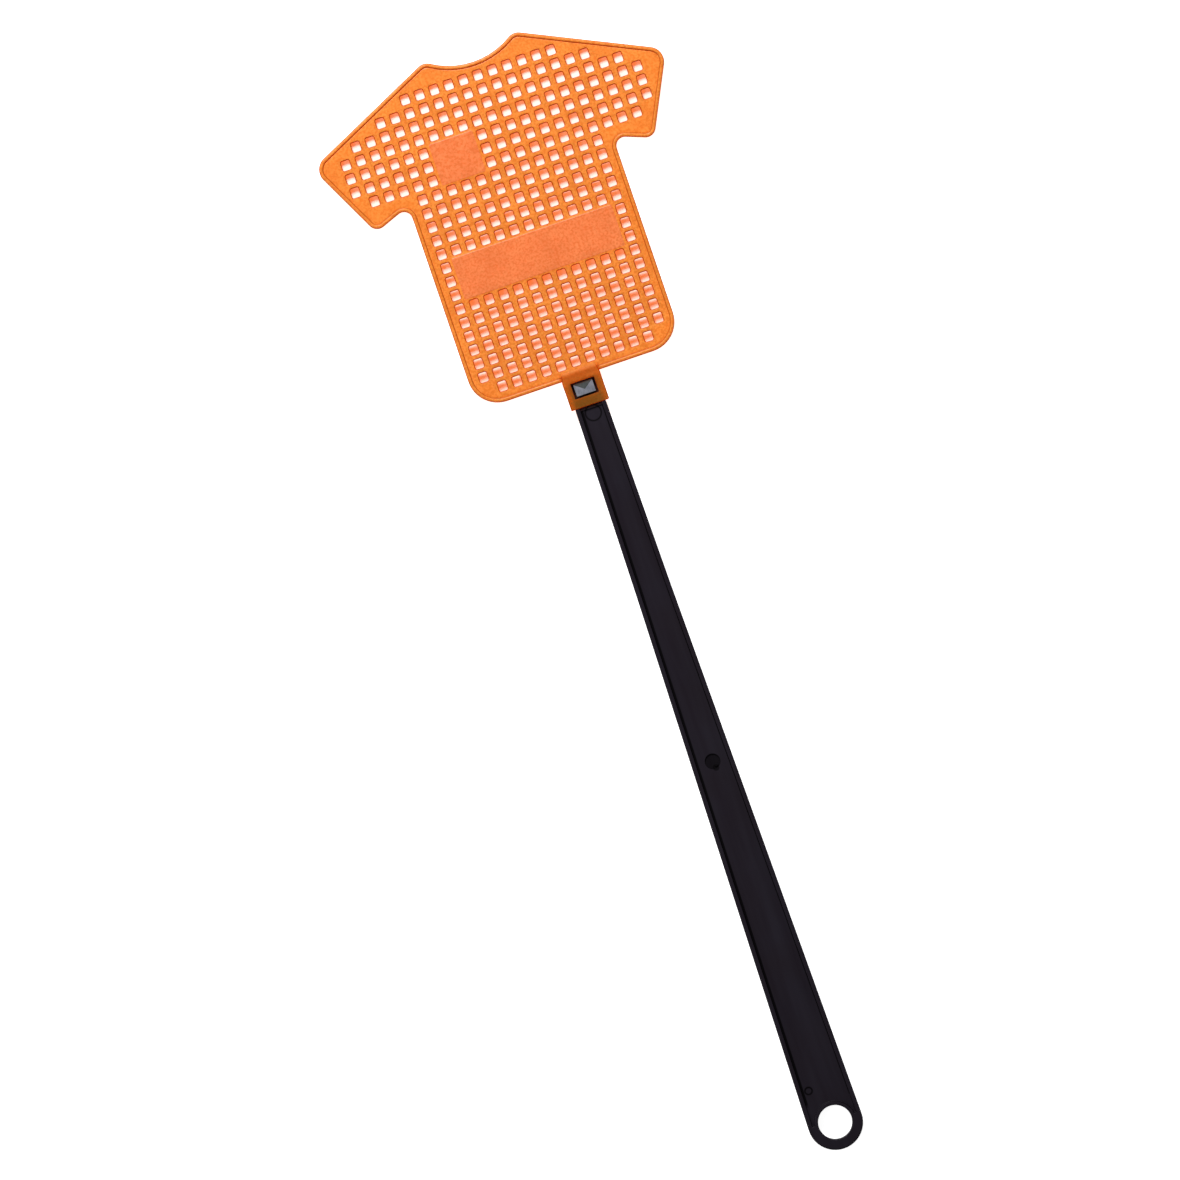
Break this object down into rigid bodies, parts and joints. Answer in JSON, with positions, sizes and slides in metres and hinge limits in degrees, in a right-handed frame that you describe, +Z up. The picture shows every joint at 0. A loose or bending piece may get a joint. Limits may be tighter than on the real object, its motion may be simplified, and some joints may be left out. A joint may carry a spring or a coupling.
{
  "type": "fly swatter",
  "caption": "Long flat-sticked swatter with a hanging eye and a perforated, shirt-shaped flexible head that snaps onto the stick's tongue.",
  "frame": {"origin": "on the table, under the middle of the swatter's bounding box, with the swatter lying on its back", "axes": "+Y along the stick towards the head, +X across the head, +Z up out of the front face"},
  "size_m": [0.1408, 0.4502, 0.005],
  "materials": {
    "stick_plastic": "satin black, fine moulded grain",
    "catch_plastic": "glossy where the mould was polished",
    "head_plastic": "translucent orange, slightly soft sheen"
  },
  "bodies": {
    "stick": {"handle": "stick_plastic"},
    "catch": {"latch": "catch_plastic"},
    "socket": {"head_socket": "head_plastic"},
    "blade": {"head_blade": "head_plastic"}
  },
  "joints": [
    {"name": "latch_press", "type": "hinge", "parent": "stick", "child": "catch", "pos_m": [0, 0.0883, 0.0033], "axis": [1, 0, 0], "range_deg": [0, 20], "stiffness_Nm_per_rad": 0.05},
    {"name": "head_slide", "type": "slide", "parent": "stick", "child": "socket", "axis": [0, 1, 0], "range_m": [0, 0.012], "deforming": ["latch"]},
    {"name": "blade_flex", "type": "hinge", "parent": "socket", "child": "blade", "pos_m": [0, 0.09225, 0.0025], "axis": [1, 0, 0], "range_deg": [-35, 35], "stiffness_Nm_per_rad": 0.3}
  ]
}
